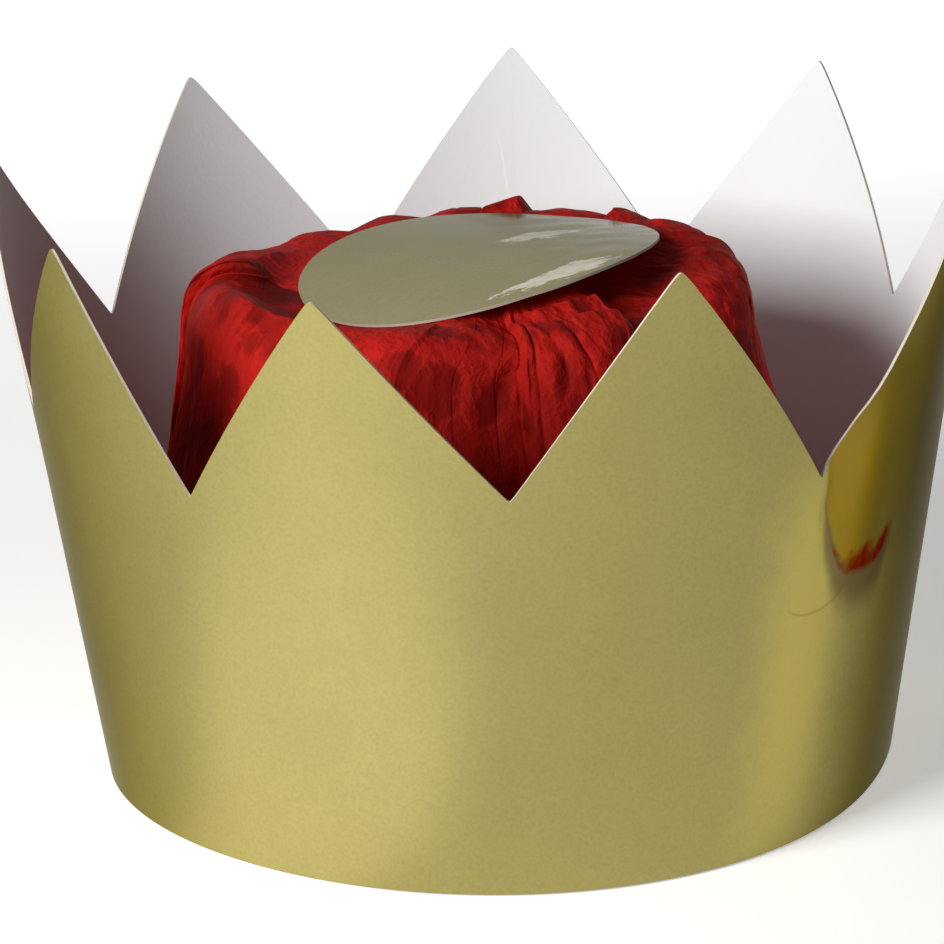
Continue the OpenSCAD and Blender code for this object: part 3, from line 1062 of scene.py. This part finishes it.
def wrinkles(angle, u, crumple, groove):
    """How far the tissue's wrinkles and its grooves along the fold lines stand out."""
    reach = size("cap_r")
    climb = np.where(u < 1, u * SIDE_CLIMB, SIDE_CLIMB + (u - 1) * TOP_CLIMB)
    tall = np.stack([reach * cos_deg(angle), reach * sin_deg(angle), climb * TALL_PART], 1)
    even = np.stack([reach * cos_deg(angle), reach * sin_deg(angle), climb * EVEN_PART], 1)
    broad = BROAD_RISE * speckle(even, spacing=15, seed=1)
    crease = CREASE_DEPTH * ridge(speckle(tall, spacing=9, seed=2), narrow=2.2, power=2)
    crease = crease * mix(0.25, 1, smooth(-0.15, 0.3, speckle(even, spacing=14, seed=4)))
    facet = FACET_DEPTH * ridge(speckle(even, spacing=6, seed=5), narrow=2, power=1.5)
    groove = groove * mix(0.25, 1, smooth(-0.3, 0.25, speckle(even, spacing=9, seed=7)))
    groove = groove * smooth(*GROOVE_START, u) * (1 - (1 - GROOVE_KEEP) * smooth(*GROOVE_FADE, u))
    lively = smooth(*WRINKLE_START, u) * smooth(*WRINKLE_END, u)
    return lively * (broad - crumple * (crease + facet)) - groove


def tissue_points(line, share, u):
    """Places of the tissue's points in millimetres, and their directions."""
    top_angle, top_rise = between_lines(TOP, TOP_RISE, line, share)
    side_angle, side_rise = between_lines(SIDE, SIDE_RISE, line, share)
    crumple = CRUMPLE[line]
    straight = np.clip((u - TURN_FROM) / (TURN_TO - TURN_FROM), 0, 1)
    upper = (smooth(TURN_FROM, TURN_TO, u) + straight) / 2
    angle = mix(side_angle, top_angle, upper)
    waves = np.stack([angle / SWAY_DEGREES, SWAY_SHARES * u, np.full_like(u, SWAY_SHIFT)], 1)
    angle = angle + SWAY_MOST * crumple * smooth(*SWAY_FROM, u) * speckle(waves, spacing=1, seed=6)
    away = mix(side_rise * smooth(0, SIDE_FULL, u), top_rise, upper)
    away = away * (1 - (1 - FLAT_KEEP) * smooth(FLAT_FROM, FLAT_TO, u))
    away += wrinkles(angle, u, crumple, line_groove(line, share)) + local_folds(angle, u)
    radius, height = cap_profile(angle, u)
    r1, h1 = cap_profile(angle, np.minimum(3, u + SLOPE_STEP))
    r0, h0 = cap_profile(angle, np.maximum(-1, u - SLOPE_STEP))
    run = np.hypot(r1 - r0, h1 - h0) + 1e-9
    r = radius + away * (h1 - h0) / run
    z = height + away * (r0 - r1) / run
    lean = smooth(0, 1, u)
    x = r * sin_deg(angle) - size("cap_lean") * lean
    y = -r * cos_deg(angle) * (1 - lean * size("cap_flat") / size("cap_r"))
    past = np.maximum(0, np.hypot(x + size("disc_off"), y) - size("disc_r") - LID_WIDTH)
    lid = disc_height(np.clip(x, *LID_X), np.clip(y, *LID_Y)) - size("disc_t") - size("seat_gap") + past
    return np.stack([x, y, np.where(u > 1, np.minimum(z, lid), z)], 1), angle


def add_tube(name, around, rows):
    """An open tube of the given faces round it and up it, one unit high."""
    bpy.ops.object.select_all(action="DESELECT")
    bpy.ops.mesh.primitive_cylinder_add(vertices=around, radius=1, depth=1, end_fill_type="NOTHING")
    tube = only(new_piece(name))
    bpy.ops.object.mode_set(mode="EDIT")
    bpy.ops.mesh.select_all(action="DESELECT")
    bpy.ops.object.mode_set(mode="OBJECT")
    for edge in tube.data.edges:
        low, high = (tube.data.vertices[k].co.z for k in edge.vertices)
        edge.select = abs(low - high) > 0.5
    bpy.context.tool_settings.mesh_select_mode = (False, True, False)
    bpy.ops.object.mode_set(mode="EDIT")
    bpy.ops.mesh.subdivide(number_cuts=rows - 1)
    bpy.ops.object.mode_set(mode="OBJECT")
    return tube


class CROWN_OT_tissue(bpy.types.Operator):
    """Gather the red tissue into folds from its hem inside the band up to the disc"""

    bl_idname = "crown.tissue"
    bl_label = "Tissue"

    def execute(self, context):
        sizes, colours = context.scene.crown_sizes, context.scene.crown_colours
        columns = fold_columns()
        shares = share_rows()
        around, rows = len(columns), len(shares) - 1
        cap = add_tube("tissue", around, rows)
        tube = points_of(cap)
        turn = np.degrees(np.arctan2(tube[:, 0], -tube[:, 1]))
        column = np.rint(turn / 360 * around).astype(int) % around
        row = np.rint((tube[:, 2] + 0.5) * rows).astype(int)
        line = np.array([c[0] for c in columns])[column]
        share = np.array([c[1] for c in columns])[column]
        places, angle = tissue_points(line, share, shares[row])
        place_points(cap, places)
        lay_flat_map(cap, angle / 360 * HEM_LENGTH, shares[row] * SHARE_HEIGHT)
        face_outwards(cap)
        dress(cap, red_tissue("Red tissue", tuple(colours.tissue)))
        thicken(cap, sizes.tissue_t, inside_slot=0, edge_slot=0, even=False)
        bpy.ops.object.shade_smooth()
        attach(cap, "root")
        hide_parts("tissue_cap")
        return {"FINISHED"}


# Disc


def add_round(name, facets, rings):
    """A flat round of radius one, made of rings that grow inwards from its edge."""
    bpy.ops.object.select_all(action="DESELECT")
    bpy.ops.mesh.primitive_circle_add(vertices=facets, radius=1, fill_type="NOTHING")
    made = only(new_piece(name))
    bpy.ops.object.mode_set(mode="EDIT")
    bpy.ops.mesh.select_all(action="SELECT")
    for ring in range(rings, 1, -1):
        bpy.ops.mesh.extrude_region_move()
        bpy.ops.transform.resize(value=((ring - 1) / ring,) * 3, center_override=(0, 0, 0))
    bpy.ops.mesh.edge_face_add()
    bpy.ops.mesh.select_all(action="SELECT")
    bpy.ops.mesh.normals_make_consistent(inside=False)
    bpy.ops.object.mode_set(mode="OBJECT")
    return made


class CROWN_OT_disc(bpy.types.Operator):
    """Cut the card disc, curl it and lay it on the gathered tissue"""

    bl_idname = "crown.disc"
    bl_label = "Disc"

    def execute(self, context):
        sizes, colours = context.scene.crown_sizes, context.scene.crown_colours
        disc = add_round("gold_disc", DISC_FACETS, DISC_RINGS)
        flat = points_of(disc) * size("disc_r")
        x, y = flat[:, 0] * cos_deg(DISC_TILT) - size("disc_off"), flat[:, 1]
        waves = np.stack([x * DENT_WAVES[0], y * DENT_WAVES[1], np.full_like(x, DENT_SHIFT)], 1)
        dent = DENT_DEPTH * speckle(waves, spacing=1, seed=0) * smooth(*DENT_FROM, x)
        place_points(disc, np.stack([x, y, disc_height(x, y) + dent], 1))
        if disc.data.polygons[0].normal.z < 0:
            turn_over(disc)
        dress(
            disc,
            gold_foil("Disc foil", tuple(colours.disc_gold), gloss=0.14, metal=0.6, marks=painted_glints),
            white_lining("Disc back", tuple(colours.lining)),
            # The disc's cut edge is the card edge colour darkened as painted shade
            card_edge("Disc edge", shade(colours.core, 0.6)),
        )
        thicken(disc, sizes.disc_t, inside_slot=1, edge_slot=2)
        bpy.ops.object.shade_smooth_by_angle(angle=math.radians(SHARP_EDGE))
        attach(disc, "root")
        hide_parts("top_disc")
        return {"FINISHED"}


# Stage


def pale_floor(name, tint):
    """Pale floor that is seen as white where the crown's shadow doesn't fall, with a painted pool of light
    that the foil mirrors.
    """
    f = Finish(bpy.data.materials.new(name))
    plain = f.node("ShaderNodeBsdfDiffuse", None, {"Color": tint})
    place = f.place()
    x, y = (f.axis(place, name) for name in "XY")
    middle_x, middle_y, half_x, half_y = GLEAM
    # Painted pool of light that the foil mirrors
    near = 1 - ((x - middle_x) / half_x) ** 4 - ((y - middle_y) / half_y) ** 4
    level = f.blend(f.step(near, low=0, high=0.9), (1, 1, 1), GLEAM_LEVEL)
    level = f.blend(f.step(x * x + y * y, *FAR_FLOOR), level, FAR_LEVEL)
    glow = f.node("ShaderNodeEmission", None, {"Color": level, "Strength": FLOOR_GLOW})
    white = f.node("ShaderNodeAddShader", None, {0: plain, 1: glow})
    both = f.node("ShaderNodeMixShader", None, {0: f.seen(), 1: plain, 2: white})
    f.node("ShaderNodeOutputMaterial", None, {"Surface": both})
    return f.owner


def studio_world(context):
    """White surroundings where they are seen, dimmer as a light."""
    context.scene.world = bpy.data.worlds.new("Studio")
    w = Finish(context.scene.world)
    level = ROOM_LIGHT + w.seen() * (1 - ROOM_LIGHT)
    sky = w.node("ShaderNodeBackground", None, {"Color": (1, 1, 1), "Strength": level})
    w.node("ShaderNodeOutputWorld", None, {"Surface": sky})


def add_lamp(kind, name, place, towards, power):
    """A lamp at a place, turned so that its light comes from a direction."""
    bpy.ops.object.light_add(type=kind, location=place)
    lamp = bpy.context.object
    lamp.name = name
    lamp.rotation_euler = Vector(towards).to_track_quat("Z", "Y").to_euler()
    lamp.data.energy = power
    return lamp.data


def add_camera(context):
    """A long lens at the photograph's height, distance and slight roll."""
    ahead = Vector((0, math.cos(LOOK_DOWN), -math.sin(LOOK_DOWN)))
    above = Vector((0, math.sin(LOOK_DOWN), math.cos(LOOK_DOWN)))
    across = Vector((1, 0, 0))
    eye = Vector((0, 0, TARGET_Z)) - ahead * DISTANCE
    right = across * math.cos(ROLL) - above * math.sin(ROLL)
    up = across * math.sin(ROLL) + above * math.cos(ROLL)
    look = (ahead - right * (SHIFT_X / FOCAL) + up * (SHIFT_Y / FOCAL)).normalized()
    right = (right - look * right.dot(look)).normalized()
    up = right.cross(look)
    bpy.ops.object.camera_add(location=eye)
    camera = context.object
    camera.name = "camera"
    camera.rotation_euler = Matrix((right, up, -look)).transposed().to_euler()
    camera.data.sensor_width = SENSOR
    camera.data.lens = FOCAL * SENSOR / PICTURE
    camera.data.clip_end = CLIP_END
    context.scene.camera = camera


class CROWN_OT_stage(bpy.types.Operator):
    """Set the pale floor, the soft light and the camera"""

    bl_idname = "crown.stage"
    bl_label = "Stage"

    def execute(self, context):
        bpy.ops.object.select_all(action="DESELECT")
        bpy.ops.mesh.primitive_plane_add(size=FLOOR_SIZE, location=(0, 0, FLOOR_Z))
        floor = new_piece("floor")
        dress(floor, pale_floor("Pale floor", tuple(context.scene.crown_colours.floor)))
        key = add_lamp("AREA", "key", KEY_PLACE, KEY_PLACE - KEY_TARGET, KEY_POWER)
        key.size = KEY_SIZE
        back = add_lamp("SPOT", "back", BACK_PLACE, BACK_FROM, BACK_POWER)
        back.spot_size = math.radians(BACK_CONE)
        back.spot_blend = 1
        back.shadow_soft_size = BACK_SOFT
        studio_world(context)
        add_camera(context)
        context.scene.view_settings.view_transform = "Standard"
        return {"FINISHED"}


# Add-on


class CROWN_PT_panel(bpy.types.Panel):
    """Sizes, colours and building steps of the crown"""

    bl_idname = "CROWN_PT_panel"
    bl_label = "Paper crown"
    bl_space_type = "VIEW_3D"
    bl_region_type = "UI"
    bl_category = "Crown"

    def draw(self, context):
        for group in (context.scene.crown_sizes, context.scene.crown_colours):
            for name in group.__annotations__:
                self.layout.prop(group, name)
        for step in STEPS:
            self.layout.operator(step.bl_idname)


STEPS = (CROWN_OT_band, CROWN_OT_disc, CROWN_OT_tissue, CROWN_OT_stage)
CLASSES = (CrownSizes, CrownColours, *STEPS, CROWN_PT_panel)


def register():
    """Adds the crown's classes and its settings to Blender."""
    for item in CLASSES:
        bpy.utils.register_class(item)
    bpy.types.Scene.crown_sizes = PointerProperty(type=CrownSizes)
    bpy.types.Scene.crown_colours = PointerProperty(type=CrownColours)


def unregister():
    """Takes the crown's settings and classes out of Blender again."""
    del bpy.types.Scene.crown_colours
    del bpy.types.Scene.crown_sizes
    for item in reversed(CLASSES):
        bpy.utils.unregister_class(item)


def main():
    """Builds the crown and its stage."""
    register()
    bpy.ops.crown.band()
    bpy.ops.crown.disc()
    bpy.ops.crown.tissue()
    bpy.ops.crown.stage()


if __name__ == "__main__":
    main()
